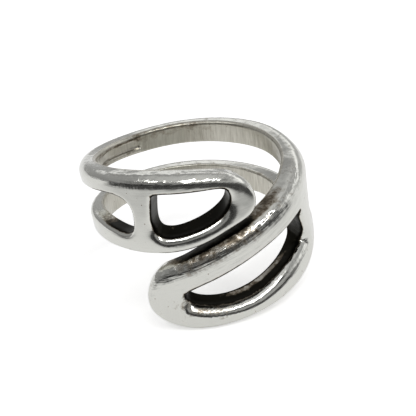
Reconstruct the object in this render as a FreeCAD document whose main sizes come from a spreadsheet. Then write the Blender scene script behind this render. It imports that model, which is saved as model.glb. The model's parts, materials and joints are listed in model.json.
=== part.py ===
import FreeCAD, Part
import math
import os
import Sketcher

# Silver bypass finger ring with open loops. Millimetres, +Z along the finger bore, origin at the
# middle of the bore. The front of the ring, where the two loops pass each other, faces -Y.
# An azimuth is counted in degrees from the front towards +X and on round the finger.

os.makedirs("parts", exist_ok=True)
doc = FreeCAD.newDocument("bypass_ring")

# ---------------------------------------------------------------- driving dimensions
SIZES = [
    ("bore_radius", 8.65, "inside of the ring, a 17.3 mm finger size"),
    ("ring_height", 16.0, "height of the whole ring along the finger"),
    ("drawn_radius", 8.65, "bore radius that the loop outlines are drawn for"),
    ("drawn_height", 16.0, "ring height that the heights below are given for"),
    ("loop_wall", 2.05, "thickness of the loops' stock"),
    ("face_forward", 0.3, "how far the outer face's centre lies towards the front"),
    ("right_face_side", 0.22, "how far the right loop's face centre lies towards +X"),
    ("left_face_side", 0.75, "how far the left loop's face centre lies towards +X at mid height"),
    ("left_face_lean", 4.9, "degrees that the left loop's face leans, thick at its upper leg"),
    ("left_azimuth", -22, "middle of the left loop"),
    ("right_azimuth", 28, "middle of the right loop"),
    ("left_joint", 285, "azimuth of the seam between the shank and the left loop"),
    ("right_joint", 92, "azimuth of the seam between the shank and the right loop"),
    ("insert_start", 180, "azimuth of the sizing inserts' right seam"),
    ("insert_end", 211, "azimuth of the sizing inserts' left seam"),
    ("left_bevel", 0.6, "bevel along the left loop's outer edges"),
    ("right_bevel", 0.65, "bevel along the right loop's outer edges"),
    ("left_window_bevel", 0.35, "bevel along the outer edge of the left loop's opening"),
    ("right_window_bevel", 0.5, "bevel along the outer edge of the right loop's opening"),
    ("shank_bevel", 0.5, "bevel along the shank wires' outer edges at the back"),
    ("soften", 0.25, "bevels along the outer bevels' own edges, as a share of those bevels"),
    ("upper_back_wall", 1.45, "thickness of the upper shank wire at the back"),
    ("lower_back_wall", 1.6, "thickness of the lower shank wire at the back"),
    ("recess_depth", 0.3, "hollow filed into the inside of the upper shank wire"),
    ("recess_edge", 0.45, "wall left beside that hollow"),
    ("recess_reach", 46, "degrees from the insert's left seam to where that hollow runs out"),
    ("recess_clear", 5, "degrees that hollow at least ends before the left loop's seam"),
    ("left_bar_azimuth", -29, "middle of the left crossbar"),
    ("left_bar_low", 2.5, "lower solder seam of the left crossbar"),
    ("left_bar_high", 5.2, "upper solder seam of the left crossbar"),
    ("right_bar_azimuth", 75, "middle of the right crossbar"),
    ("right_bar_low", -2.0, "lower solder seam of the right crossbar"),
    ("right_bar_high", -0.5, "upper solder seam of the right crossbar"),
    ("bar_reach", 3.4, "width of the cutters that part the crossbars, ending in the open gaps"),
    ("bore_stock", 0.5, "stock left inside the shank wires for the bore to cut away"),
    ("blank_inner", 3.5, "distance of the blanks' inner plane from the bore's axis"),
    ("blank_outer", 13.0, "distance of the blanks' outer plane from the bore's axis"),
]

# Loop outlines are drawn on the plane that touches the bore at the loop's middle, as control
# points (across, height) of a smooth curve, and are projected outwards from the bore's axis.
# A point marked SEAM lies in the plane where the loop is soldered to the shank.
SEAM = None
LEFT_EDGE = [(SEAM, 6.8), (-5.8, 7.3), (-0.3, 8.2), (5.5, 7.5), (10.4, 6.4), (12.4, 4.1), (10.3, 2.4),
             (6.2, 2.0), (3.2, 0.4), (-1.3, -0.3), (-6.2, -0.3), (SEAM, -0.6)]
LEFT_SPLIT = [(SEAM, 1.8), (-5.9, 2.0), (-2.8, 1.3), (-2.0, 2.3), (-1.7, 5.0), (-3.3, 6.1), (-6.9, 5.2),
              (SEAM, 4.8)]
LEFT_WINDOW = [(-0.7, 1.4), (2.9, 2.3), (5.8, 3.3), (7.6, 4.5), (7.1, 5.9), (5.1, 6.2), (2.1, 6.2),
               (0.0, 6.3), (0.0, 5.4)]
RIGHT_EDGE = [(SEAM, 3.8), (12.8, 3.7), (7.8, 3.7), (-1.4, 1.3), (-7.2, -1.2), (-11.7, -1.6), (-17.6, -4.1),
              (-16.9, -6.0), (-11.5, -7.4), (-4.6, -8.5), (4.3, -7.0), (11.5, -5.1), (SEAM, -4.8)]
RIGHT_SPLIT = [(SEAM, -2.3), (13.9, -2.5), (11.4, -2.5), (10.9, -0.4), (11.7, 1.8), (14.1, 1.8), (SEAM, 1.8)]
RIGHT_WINDOW = [(-9.6, -4.6), (-3.8, -3.1), (0.6, -1.1), (4.2, -0.2), (6.4, 0.2), (6.8, -1.1), (7.6, -2.5),
                (7.8, -3.4), (6.3, -3.7), (2.7, -4.6), (-2.7, -6.1)]

# Sections of the shank wires between the two seams: azimuth, lower edge, upper edge, and how
# much of the back's wall thickness the section has more than at the back.
UPPER_WIRE = [(120, 2.03, 4.15, 0.45), (150, 2.13, 4.35, 0.15), (180, 2.33, 4.45, 0.0),
              (211, 2.62, 4.6, 0.05), (245, 3.4, 5.3, 0.25)]
LOWER_WIRE = [(120, -3.35, -1.1, 0.35), (150, -2.85, -0.5, 0.05), (180, -2.45, -0.1, 0.0),
              (211, -2.0, 0.3, -0.1), (245, -1.6, 1.0, -0.3)]

# Radius of the construction circle that marks a control point in a sketch.
POLE_MARK = 0.1

# Sections of the hollow inside the upper wire: how far along its reach each one lies, and how
# much of the full depth the hollow has there.
RECESS = [(0.0, 1.0), (0.37, 1.0), (0.74, 0.8), (1.0, 0.15)]

sheet = doc.addObject("Spreadsheet::Sheet", "Sizes")
for row, (alias, value, note) in enumerate(SIZES, start=1):
    sheet.set(f"A{row}", alias)
    sheet.set(f"B{row}", str(value))
    sheet.set(f"C{row}", note)
    sheet.setAlias(f"B{row}", alias)
doc.recompute()


def size(alias):
    return float(sheet.get(alias))


def at_height(value):
    """Expression for a height that is given for the drawn ring height."""
    return f"{value} * Sizes.ring_height / Sizes.drawn_height"


def origin_plane(body, role):
    return next(item for item in body.Origin.OriginFeatures if item.Role == role)


def new_sketch(body, name, role, offset):
    """Sketch on one of the body's own origin planes, moved by an offset expression."""
    sketch = body.newObject("Sketcher::SketchObject", name)
    sketch.AttachmentSupport = (origin_plane(body, role), "")
    sketch.MapMode = "FlatFace"
    sketch.setExpression("AttachmentOffset", offset)
    return sketch


def drive(sketch, constraint, expression):
    index = sketch.addConstraint(constraint)
    sketch.setExpression(f"Constraints[{index}]", expression)


def add_circle(sketch, radius_expression, radius, across, forward):
    centre = FreeCAD.Vector(0, 0, 0)
    circle = sketch.addGeometry(Part.Circle(centre, FreeCAD.Vector(0, 0, 1), radius), False)
    drive(sketch, Sketcher.Constraint("Radius", circle, radius), radius_expression)
    if across is None:
        sketch.addConstraint(Sketcher.Constraint("Coincident", circle, 3, -1, 1))
    else:
        drive(sketch, Sketcher.Constraint("DistanceX", -1, 1, circle, 3, 0.0), across)
        drive(sketch, Sketcher.Constraint("DistanceY", -1, 1, circle, 3, 0.0), forward)


def cut_through(body, name, sketch):
    pocket = body.newObject("PartDesign::Pocket", name)
    pocket.Profile = sketch
    pocket.Type = 1
    pocket.Midplane = True
    doc.recompute()


def cut_bore(body, side):
    sketch = new_sketch(body, side + "_bore_circle", "XY_Plane",
                        "placement(vector(0; 0; 0); rotation(vector(0; 0; 1); 0))")
    add_circle(sketch, "Sizes.bore_radius", size("bore_radius"), None, None)
    cut_through(body, side + "_bore", sketch)


# ---------------------------------------------------------------- loops
def add_spline(sketch, points, closed, side, plane_alias):
    """One spline whose control points are all held by driven distances."""
    plane = size(plane_alias)
    at_seam = plane * math.tan(math.radians(size(side + "_joint") - size(side + "_azimuth")))
    spread = plane / size("drawn_radius")
    rise = size("ring_height") / size("drawn_height")
    poles = [FreeCAD.Vector(at_seam if x is SEAM else x * spread, z * rise, 0) for x, z in points]
    curve = Part.BSplineCurve()
    curve.buildFromPoles(poles, closed, 3)
    spline = sketch.addGeometry(curve, False)
    for number, ((x, z), pole) in enumerate(zip(points, poles)):
        circle = sketch.addGeometry(Part.Circle(pole, FreeCAD.Vector(0, 0, 1), POLE_MARK), True)
        sketch.addConstraint(
            Sketcher.Constraint("InternalAlignment:Sketcher::BSplineControlPoint", circle, 3, spline, number))
        sketch.addConstraint(Sketcher.Constraint("Weight", circle, 1.0))
        if x is SEAM:
            across = f"Sizes.{plane_alias} * tan(Sizes.{side}_joint - Sizes.{side}_azimuth)"
        else:
            across = f"{x} * Sizes.{plane_alias} / Sizes.drawn_radius"
        drive(sketch, Sketcher.Constraint("DistanceX", -1, 1, circle, 3, pole.x), across)
        drive(sketch, Sketcher.Constraint("DistanceY", -1, 1, circle, 3, pole.y), at_height(z))
    return spline


def outline_sketch(body, name, curves, closed, side, plane_alias):
    """Outline on a plane that faces the loop's middle, at a distance from the bore's axis."""
    offset = f"placement(vector(0; 0; Sizes.{plane_alias}); rotation(vector(0; 0; 1); 0))"
    sketch = new_sketch(body, name, "XZ_Plane", offset)
    splines = [add_spline(sketch, points, closed, side, plane_alias) for points in curves]
    if not closed:
        for first, second in zip(splines, splines[1:] + splines[:1]):
            start = sketch.Geometry[first].EndPoint
            end = sketch.Geometry[second].StartPoint
            line = sketch.addGeometry(Part.LineSegment(start, end), False)
            sketch.addConstraint(Sketcher.Constraint("Coincident", line, 1, first, 2))
            sketch.addConstraint(Sketcher.Constraint("Coincident", line, 2, second, 1))
    return sketch


def radial_loft(body, kind, name, curves, closed, side):
    """Solid or cut between two copies of an outline, with walls that point at the bore's axis."""
    loft = body.newObject("PartDesign::" + kind, name)
    loft.Profile = outline_sketch(body, name + "_inner", curves, closed, side, "blank_inner")
    loft.Sections = [outline_sketch(body, name + "_outer", curves, closed, side, "blank_outer")]
    loft.Ruled = True
    doc.recompute()


def face_edges(shape, closed):
    """Names of the long edges along the outer face, which aren't those at the bore or in the seams."""
    clear_of_bore = size("bore_radius") + size("loop_wall") / 4
    names = []
    for number, edge in enumerate(shape.Edges, start=1):
        points = edge.discretize(9)
        nearest = min(math.hypot(point.x, point.y) for point in points)
        is_long = edge.Length > 2 * size("loop_wall")
        is_ring = points[0].distanceToPoint(points[-1]) < size("loop_wall") / 4
        if nearest > clear_of_bore and is_long and is_ring == closed:
            names.append(f"Edge{number}")
    return names


def bevel_face(body, name, closed, width):
    """Bevel along the outer face's edges, or along the edges of the bevel that is already there."""
    base = body.Tip
    bevel = body.newObject("PartDesign::Chamfer", name)
    bevel.Base = (base, face_edges(base.Shape, closed))
    bevel.setExpression("Size", f"{width} * min(1; Sizes.ring_height / Sizes.drawn_height)")
    doc.recompute()


def loop_blank(side, edge, split, window):
    """One open loop with its crossbar, before the crossbar is parted from it."""
    body = doc.addObject("PartDesign::Body", side + "_loop_blank")
    radial_loft(body, "AdditiveLoft", side + "_plate", [edge, split], False, side)
    radial_loft(body, "SubtractiveLoft", side + "_window", [window], True, side)
    cut_bore(body, side)

    lean = "Sizes.left_face_lean" if side == "left" else "0"
    face = new_sketch(body, side + "_face_circle", "XY_Plane",
                      f"placement(vector(0; 0; 0); rotation(vector(0; 0; 1); -1 * Sizes.{side}_azimuth)"
                      f" * rotation(vector(0; 1; 0); -1 * {lean}))")
    add_circle(face, "Sizes.bore_radius + Sizes.loop_wall", size("bore_radius") + size("loop_wall"),
               f"Sizes.{side}_face_side", "-1 * Sizes.face_forward")
    add_circle(face, "3 * Sizes.blank_outer", 3 * size("blank_outer"), None, None)
    cut_through(body, side + "_face", face)
    bevel_face(body, side + "_window_edge", True, f"Sizes.{side}_window_bevel")
    bevel_face(body, side + "_outer_edges", False, f"Sizes.{side}_bevel")
    bevel_face(body, side + "_softened_edges", False, f"Sizes.soften * Sizes.{side}_bevel")
    body.setExpression("Placement",
                       f"placement(vector(0; 0; 0); rotation(vector(0; 0; 1); Sizes.{side}_azimuth))")
    doc.recompute()
    return body


def part_crossbar(blank, side):
    """Part a loop blank into the loop and its crossbar along the bar's two solder seams."""
    cutter = doc.addObject("Part::Box", side + "_bar_cutter")
    cutter.setExpression("Length", "Sizes.bar_reach")
    cutter.setExpression("Width", "Sizes.blank_outer - Sizes.bore_radius / 2")
    cutter.setExpression("Height", at_height(f"(Sizes.{side}_bar_high - Sizes.{side}_bar_low)"))
    cutter.setExpression("Placement",
                         f"placement(vector(0; 0; 0); rotation(vector(0; 0; 1); Sizes.{side}_bar_azimuth))"
                         f" * placement(vector(-0.5 * Sizes.bar_reach; -1 * Sizes.blank_outer; "
                         + at_height(f"Sizes.{side}_bar_low") + "); rotation(vector(0; 0; 1); 0))")
    loop = doc.addObject("Part::Cut", side + "_loop")
    loop.Refine = False
    loop.Base = blank
    loop.Tool = cutter
    crossbar = doc.addObject("Part::Common", side + "_crossbar")
    crossbar.Refine = False
    crossbar.Base = blank
    crossbar.Tool = cutter
    doc.recompute()
    return [loop, crossbar]


# ---------------------------------------------------------------- shank wires
def value_of(expression):
    return float(sheet.evalExpression(expression))


def section_sketch(body, name, azimuth, corners):
    """Straight-sided section in the half plane at an azimuth, from (radius, height) expressions."""
    sketch = new_sketch(body, name, "XZ_Plane",
                        f"placement(vector(0; 0; 0); rotation(vector(0; 1; 0); {azimuth} - 90))")
    points = [FreeCAD.Vector(value_of(x), value_of(z), 0) for x, z in corners]
    for point, following in zip(points, points[1:] + points[:1]):
        sketch.addGeometry(Part.LineSegment(point, following), False)
    for number, (x, z) in enumerate(corners):
        before = (number - 1) % len(corners)
        sketch.addConstraint(Sketcher.Constraint("Coincident", before, 2, number, 1))
        drive(sketch, Sketcher.Constraint("DistanceX", -1, 1, number, 1, points[number].x), x)
        drive(sketch, Sketcher.Constraint("DistanceY", -1, 1, number, 1, points[number].y), z)
    return sketch


def loft_sections(body, kind, name, rows):
    """Smooth loft through sections given as (azimuth, corners)."""
    sketches = [section_sketch(body, f"{name}_section_{number}", *row) for number, row in enumerate(rows)]
    loft = body.newObject("PartDesign::" + kind, name)
    loft.Profile = sketches[0]
    loft.Sections = sketches[1:]
    doc.recompute()


def seam_radius(side, height):
    """Outer radius of a loop where it meets the shank, at a height."""
    lean = f"tan(Sizes.left_face_lean) * {at_height(height)}" if side == "left" else "0"
    return (f"(Sizes.bore_radius + Sizes.loop_wall + (Sizes.{side}_face_side - {lean})"
            f" * sin(Sizes.{side}_joint) + Sizes.face_forward * cos(Sizes.{side}_joint))")


def wire_corners(low, high, outer, bevel):
    """Corners of a wire's section, open towards the bore, with softened bevels like the loops' own."""
    inner = "(Sizes.bore_radius - Sizes.bore_stock)"
    straight = f"(1 + Sizes.soften) * {bevel}"
    slanted = f"(1 - Sizes.soften * sqrt(0.5)) * {bevel}"
    short = f"Sizes.soften * sqrt(0.5) * {bevel}"
    rounding = [(straight, "0"), (slanted, short), (short, slanted), ("0", straight)]
    lower = [(f"({outer} - {inwards})", f"({low} + {along})") for inwards, along in rounding]
    upper = [(f"({outer} - {inwards})", f"({high} - {along})") for inwards, along in reversed(rounding)]
    return [(inner, low), *lower, *upper, (inner, high)]


def seam_section(side, low, high):
    """Section of a wire where it meets a loop, as thick as the loop is there."""
    corners = wire_corners(at_height(low), at_height(high), seam_radius(side, (low + high) / 2),
                           f"Sizes.{side}_bevel")
    return f"Sizes.{side}_joint", corners


def shank_wire(name, rows, right_heights, left_heights):
    """Wire that runs round the back of the finger from the right loop's seam to the left loop's."""
    sections = []
    for azimuth, low, high, thicker in rows:
        outer = f"(Sizes.bore_radius + Sizes.{name}_back_wall + {thicker})"
        sections.append((azimuth, wire_corners(at_height(low), at_height(high), outer, "Sizes.shank_bevel")))
    sections.insert(0, seam_section("right", *right_heights))
    sections.append(seam_section("left", *left_heights))
    body = doc.addObject("PartDesign::Body", name + "_wire")
    loft_sections(body, "AdditiveLoft", name + "_stock", sections)
    cut_bore(body, name)
    return body


def wire_edges(rows, azimuth):
    """Lower and upper edge of a wire at an azimuth between two of its sections."""
    for (start, low, high), (end, next_low, next_high) in zip(rows, rows[1:]):
        if start <= azimuth <= end:
            share = (azimuth - start) / (end - start)
            return low + share * (next_low - low), high + share * (next_high - high)
    raise ValueError(f"the wire has no section at azimuth {azimuth}")


def cut_recess(body, rows, left_heights):
    """Hollow in the bore side of the upper wire, from the sizing insert's seam to where it runs out."""
    edges = [row[:3] for row in rows] + [(size("left_joint"), *left_heights)]
    inner = "(Sizes.bore_radius - Sizes.bore_stock)"
    reach = "min(Sizes.recess_reach; Sizes.left_joint - Sizes.insert_end - Sizes.recess_clear)"
    sections = []
    for share, depth in RECESS:
        azimuth = f"(Sizes.insert_end + {share} * {reach})"
        low, high = wire_edges(edges, value_of(azimuth))
        lower = f"({at_height(low)} + Sizes.recess_edge)"
        upper = f"({at_height(high)} - Sizes.recess_edge)"
        floor = f"(Sizes.bore_radius + {depth} * Sizes.recess_depth)"
        sections.append((azimuth, [(inner, lower), (floor, lower), (floor, upper), (inner, upper)]))
    loft_sections(body, "SubtractiveLoft", "recess", sections)


def part_wire(wire, name):
    """Part a shank wire at the sizing insert's two seams."""
    pieces = []
    for label, start, end in ((f"{name}_shank_right", "right_joint", "insert_start"),
                              (f"{name}_sizing_insert", "insert_start", "insert_end"),
                              (f"{name}_shank_left", "insert_end", "left_joint")):
        sector = doc.addObject("Part::Cylinder", label + "_sector")
        sector.setExpression("Radius", "Sizes.blank_outer")
        sector.setExpression("Height", "2 * Sizes.ring_height")
        sector.setExpression("Angle", f"Sizes.{end} - Sizes.{start}")
        sector.setExpression("Placement", "placement(vector(0; 0; -1 * Sizes.ring_height); "
                                          f"rotation(vector(0; 0; 1); Sizes.{start} - 90))")
        piece = doc.addObject("Part::Common", label)
        piece.Refine = False
        piece.Base = wire
        piece.Tool = sector
        pieces.append(piece)
    doc.recompute()
    return pieces


left_blank = loop_blank("left", LEFT_EDGE, LEFT_SPLIT, LEFT_WINDOW)
right_blank = loop_blank("right", RIGHT_EDGE, RIGHT_SPLIT, RIGHT_WINDOW)
nodes = part_crossbar(left_blank, "left") + part_crossbar(right_blank, "right")

# A wire's lower and upper edge at each seam are where the loop's outlines end.
upper_left_heights = (LEFT_SPLIT[-1][1], LEFT_EDGE[0][1])
upper_wire = shank_wire("upper", UPPER_WIRE, (RIGHT_SPLIT[-1][1], RIGHT_EDGE[0][1]), upper_left_heights)
cut_recess(upper_wire, UPPER_WIRE, upper_left_heights)
lower_wire = shank_wire("lower", LOWER_WIRE, (RIGHT_EDGE[-1][1], RIGHT_SPLIT[0][1]),
                        (LEFT_EDGE[-1][1], LEFT_SPLIT[0][1]))
nodes += part_wire(upper_wire, "upper") + part_wire(lower_wire, "lower")
doc.recompute()

# ---------------------------------------------------------------- checks and files
failed = [item.Name for item in doc.Objects if {"Invalid", "Error"} & set(item.State)]
if failed:
    raise RuntimeError("these objects could not be built: " + ", ".join(failed))
for node in nodes:
    shape = node.Shape
    if shape.isNull() or not shape.isValid() or len(shape.Solids) != 1:
        raise RuntimeError(f"{node.Label} is not one valid solid")
    print(f"{node.Label}: {shape.Volume:.2f} mm3, {len(shape.Faces)} faces")
for node in nodes:
    node.Shape.exportStep(f"parts/{node.Label}.step")
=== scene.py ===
from functools import partial
import json
import math

import bpy
import numpy as np
from mathutils import Matrix, Vector
from mathutils.geometry import delaunay_2d_cdt


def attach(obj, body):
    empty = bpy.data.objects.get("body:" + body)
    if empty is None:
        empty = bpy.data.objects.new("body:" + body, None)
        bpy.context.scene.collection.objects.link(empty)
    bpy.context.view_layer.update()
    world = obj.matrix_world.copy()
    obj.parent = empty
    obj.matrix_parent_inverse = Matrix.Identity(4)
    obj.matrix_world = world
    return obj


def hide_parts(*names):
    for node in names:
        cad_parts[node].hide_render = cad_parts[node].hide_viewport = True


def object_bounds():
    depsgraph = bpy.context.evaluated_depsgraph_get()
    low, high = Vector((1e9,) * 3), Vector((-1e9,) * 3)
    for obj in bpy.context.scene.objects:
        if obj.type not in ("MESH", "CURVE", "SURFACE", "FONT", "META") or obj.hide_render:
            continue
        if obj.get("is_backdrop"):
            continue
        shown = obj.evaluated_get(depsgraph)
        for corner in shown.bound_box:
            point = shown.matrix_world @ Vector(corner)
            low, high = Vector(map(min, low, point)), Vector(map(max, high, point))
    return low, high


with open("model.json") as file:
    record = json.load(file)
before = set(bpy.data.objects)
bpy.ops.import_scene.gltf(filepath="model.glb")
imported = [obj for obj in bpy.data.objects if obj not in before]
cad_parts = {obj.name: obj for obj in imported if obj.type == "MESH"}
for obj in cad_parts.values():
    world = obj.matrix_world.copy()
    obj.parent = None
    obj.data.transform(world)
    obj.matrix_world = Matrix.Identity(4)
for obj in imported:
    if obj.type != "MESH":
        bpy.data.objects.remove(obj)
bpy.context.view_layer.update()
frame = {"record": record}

# Silver bypass finger ring. The whole ring is drawn once as flat stock: across is the arc along the
# bore, height runs along the finger and depth is measured outwards from the bore. The flat pieces
# are cut out of it and bent round the finger. Lengths are millimetres until a mesh is written.
# Azimuth is in degrees round the bore, from the front of the ring towards its right.
MM = 0.001

# ---------------- sizes of the ring
# A loop's outer face is a cylinder set forward and to one side, and the left one's leans. MIDDLE is
# the azimuth at which the plane that a loop's outlines are drawn on touches the bore.
BORE_RADIUS = frame["record"]["mounts"][0]["dims"]["r_mm"]
LOOP_WALL = 2.05
FACE_FORWARD = 0.3
FACE_SIDE = {"left": 0.75, "right": 0.22}
FACE_LEAN = {"left": math.radians(4.9), "right": 0.0}
MIDDLE = {"left": -22.0, "right": 28.0}

# Azimuths where the shank is soldered to the loops and to its sizing insert. The flat stock is cut
# open at the left seam.
TURN = 360.0
LEFT_SEAM = 285.0
RIGHT_SEAM = 92.0
STOCK_START = LEFT_SEAM - TURN
INSERT_START = 180.0
INSERT_END = 211.0

# Walls at the back, and the degrees over which a wire's face goes over into the loop's at a seam.
UPPER_BACK_WALL = 1.45
LOWER_BACK_WALL = 1.6
FACE_BLEND = 35.0

# Hollow inside the upper wire, which starts at the sizing insert and gets shallower to its left.
# RECESS_WALL says how far within its outline its wall starts and ends.
RECESS_DEPTH = 0.3
RECESS_SHALLOW = 0.15
RECESS_TAPER_START = 236.0
RECESS_MARGIN = 0.45
RECESS_END = 257.0
RECESS_WALL = (-0.05, 0.13)

# Crossbar of each loop: azimuth of its middle, half its reach in degrees, lower and upper seam.
CROSSBARS = {"left": (-29.0, 11.0, 2.5, 5.2), "right": (75.0, 11.0, -2.0, -0.5)}

# Radius of the rounded outer edges: where the wall beside the edge faces down, and where it faces up.
# The span holds the azimuths between which the wires have the shank's own.
LEFT_EDGE_ROUND = (0.6, 1.1)
RIGHT_EDGE_ROUND = (0.9, 1.5)
LEFT_GAP_ROUND = (0.4, 0.6)
RIGHT_GAP_ROUND = (0.4, 0.7)
LEFT_WINDOW_ROUND = (0.3, 0.95)
RIGHT_WINDOW_ROUND = (0.3, 1.3)
SHANK_ROUND = (0.55, 0.65)
SHANK_ROUND_SPAN = (135.0, 240.0)
BORE_ROUND = {"outside": 0.3, "gap": 0.15, "left window": 0.1, "right window": 0.1}

# Parts of a wall's normal over which it comes to count as facing up or down, as a window's lower
# wall, or as a window's right end.
FACING_UP = (-0.5, 0.8)
FACING_DOWN = (0.3, 0.9)
LOWER_WALL = (0.1, 0.9)
RIGHT_END = (0.3, 0.9)

# How far the darkening of a wall comes out over its rounded outer edge, as a share of the rounding,
# where the wall faces down and where it faces up; it is tarnish, and painted shade that reaches farther
# where the wall faces down. The edges that nothing shelters are nearly clean.
RIM_REACH = (0.9, 0.15)
LEFT_WINDOW_REACH = (0.9, 0.22)
RIGHT_WINDOW_REACH = (0.9, 0.07)
CLEAN = 0.1

# Darkening of the right loop's edge in the narrow gap under the left loop, which is tarnish and painted
# shade with a painted reflection of the left loop's underside, and of the shank gap's edges beside the
# crossbars, which is tarnish and painted shade, with the azimuths or degrees over which it changes.
NARROW_RISE = (-26.0, -6.0)
NARROW_FALL = (42.0, 62.0)
NARROW_THINNING = (24.0, 34.0)
NARROW_THINNED = 0.55
UPPER_WALL_FROM = -4.0
GAP_TARNISH_AND_SHADE = 0.15
BESIDE_BAR = (20.0, 40.0)

# Darkening on the bore side of a window's wall, which is tarnish and painted shade: all along the left
# one's, and least in the middle of the right one's, from where it rises towards both ends. It changes
# over a share of the wall's depth.
LEFT_WINDOW_SHARE = 0.85
RIGHT_WINDOW_SHARE = 0.42
TOWARDS_LEFT_END = (3.0, 15.0)
TOWARDS_RIGHT_END = (48.0, 60.0)
WALL_CHANGE = (0.2, 0.55)

# Thin tarnish beside an outer edge: how much of the edge's own there is, how much there is along the
# left part of the right window's lower wall, and how far it reaches.
FILM = 0.5
WINDOW_FILM = 0.35
WINDOW_FILM_FADE = (5.0, 30.0)
FILM_REACH = 2.2

# Darkening in the recess, which is tarnish and painted shade: along its outline, more along its upper
# edge, and a film on the insert.
RECESS_TARNISH_AND_SHADE = (0.22, 0.47)
RECESS_TOP = (0.6, 1.1)
RECESS_BESIDE = (0.1, 0.35)
INSERT_FILM = 0.3
INSERT_FILM_RISE = (155.0, 175.0)
INSERT_FILM_FALL = (213.0, 219.0)
INSERT_FILM_DEPTH = (0.5, 1.5)

# How far a window's wall leans, as the shift (across, height) of its outer and of its bore edge. The
# lean of the lower wall fades over the given azimuths towards the window's right end.
LOWER_WALL_LEAN = {"left window": ((0.0, -0.3), (0.0, 0.15)),
                   "right window": ((0.0, -0.35), (0.0, 0.0))}
RIGHT_END_LEAN = {"left window": ((-0.15, 0.0), (0.12, 0.0)),
                  "right window": ((-0.7, 0.0), (0.35, 0.0))}
LEAN_FADE = {"left window": (20.0, 32.0), "right window": (20.0, 45.0)}
LEAN_REACH = 2.2

# How worn the polish is: on each loop, along the ring's top, on the right loop's lowest part and on
# the shank, with the heights or degrees over which it changes. Rounded edges are worn most.
WEAR = {"left": 0.18, "right": 1.0}
TOP_WEAR = 0.9
TOP_HEIGHTS = (6.3, 7.2)
LOW_WEAR = 0.3
LOW_HEIGHTS = (-5.4, -4.4)
SHANK_WEAR = 0.25
WEAR_BLEND = 30.0
FLAT_WEAR = 0.5
EDGE_WEAR = 1.2
EDGE_FALL = 0.2

# Outlines of the loops: control points (across, height) on the plane that touches the bore at the
# loop's middle. A point marked SEAM lies where the loop is soldered to the shank.
SEAM = None
LEFT_EDGE = [(SEAM, 6.8), (-5.8, 7.3), (-0.3, 8.2), (5.5, 7.5), (10.4, 6.4), (12.4, 4.1), (10.3, 2.4),
             (6.2, 2.0), (3.2, 0.4), (-1.3, -0.3), (-6.2, -0.3), (SEAM, -0.6)]
LEFT_SPLIT = [(SEAM, 1.8), (-5.9, 2.0), (-2.8, 1.3), (-2.0, 2.3), (-1.7, 5.0), (-3.3, 6.1), (-6.9, 5.2),
              (SEAM, 4.8)]
LEFT_WINDOW = [(-0.7, 1.4), (2.9, 2.3), (5.8, 3.3), (7.6, 4.5), (7.1, 5.9), (5.1, 6.2), (2.1, 6.2),
               (0.0, 6.3), (0.0, 5.4)]
RIGHT_EDGE = [(SEAM, 3.8), (12.8, 3.7), (7.8, 3.7), (-1.4, 1.3), (-7.2, -1.2), (-11.7, -1.6),
              (-17.6, -4.1), (-16.9, -6.0), (-11.5, -7.4), (-4.6, -8.5), (4.3, -7.0), (11.5, -5.1),
              (SEAM, -4.8)]
RIGHT_SPLIT = [(SEAM, -2.3), (13.9, -2.5), (11.4, -2.5), (10.9, -0.4), (11.7, 1.8), (14.1, 1.8),
               (SEAM, 1.8)]
RIGHT_WINDOW = [(-9.6, -4.6), (-3.8, -3.1), (0.6, -1.1), (4.2, -0.2), (6.4, 0.2), (6.8, -1.1),
                (7.6, -2.5), (7.8, -3.4), (6.3, -3.7), (2.7, -4.6), (-2.7, -6.1)]

# Sections of the shank wires: azimuth, lower edge, upper edge, extra wall over the back's.
UPPER_WIRE = [(120, 2.03, 4.15, 0.45), (150, 2.13, 4.35, 0.15), (180, 2.33, 4.45, 0.0),
              (211, 2.62, 4.6, 0.05), (245, 3.4, 5.3, 0.25)]
LOWER_WIRE = [(120, -3.35, -1.1, 0.35), (150, -2.85, -0.5, 0.05), (180, -2.45, -0.1, 0.0),
              (211, -2.0, 0.3, -0.1), (245, -1.6, 1.0, -0.3)]

# ---------------- spacing of the flat mesh
# Points lie along the outlines, in rows beside these at growing depths, in an even field of staggered
# rows between, and in rows along the recess. EVENED is the length over which roundings are averaged.
# Points closer than MERGED become one, and a point within TOUCHING of a seam counts as on it. There
# are WALL_ROWS rows of faces from the outer side to the bore.
OUTLINE_STEP = 0.14
SPLINE_STEPS = 60
RING_DEPTHS = (0.02, 0.06, 0.12, 0.2, 0.3, 0.42, 0.56, 0.72, 0.9, 1.1, 1.3, 1.5)
ROW_SLACK = 0.01
FIELD_STEP = 0.28
FIELD_ROW = 0.87 * FIELD_STEP
FIELD_DEPTH = 1.65
HALF_HEIGHT = 8.2
SHELF_ROWS = (-0.06, 0.0, 0.06, 0.12)
SEAM_OVERSHOOT = 0.2
CLOSEST = 0.05
TOUCHING = 1e-3
MERGED = 1e-5
EVENED = 1.4
WALL_ROWS = 6

# Points handled at a time, and the distance beyond which a gap isn't measured.
BATCH = 2000
FARTHEST = 3.0

# Length on the flat stock of one degree round the bore.
DEGREE = math.radians(1) * BORE_RADIUS


# ---------------- curves
def even_steps(line, step):
    """The same line with its points at even distances."""
    along = np.concatenate([[0.0], np.cumsum(np.linalg.norm(np.diff(line, axis=0), axis=1))])
    places = np.linspace(0.0, along[-1], max(2, round(along[-1] / step) + 1))
    return np.stack([np.interp(places, along, column) for column in line.T], axis=1)


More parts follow.
